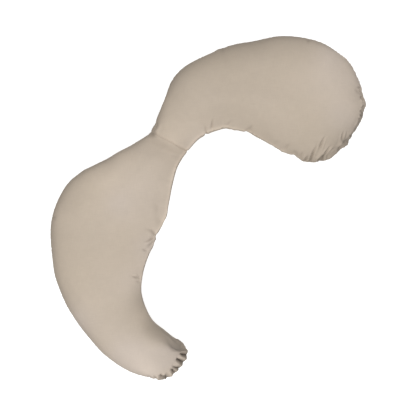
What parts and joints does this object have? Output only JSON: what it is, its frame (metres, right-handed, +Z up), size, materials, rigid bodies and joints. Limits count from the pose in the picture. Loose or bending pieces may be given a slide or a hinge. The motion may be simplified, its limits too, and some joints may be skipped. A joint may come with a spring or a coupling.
{
  "type": "body pillow",
  "caption": "Long curved body pillow: one filled cushion with a wide head part, a narrow sewn neck, a wide leg part and a tapering tail, lying on its back.",
  "frame": {"origin": "on the surface the pillow lies on, under the middle of its outline", "axes": "+Z up out of the upper panel, +Y from the tail towards the head part, +X from the leg part towards the head part's round end"},
  "size_m": [1.041, 1.1328, 0.171],
  "materials": {
    "cover": "smooth taupe satin cotton, soft low sheen"
  },
  "bodies": {
    "root": {"pillow": "cover"}
  },
  "joints": []
}
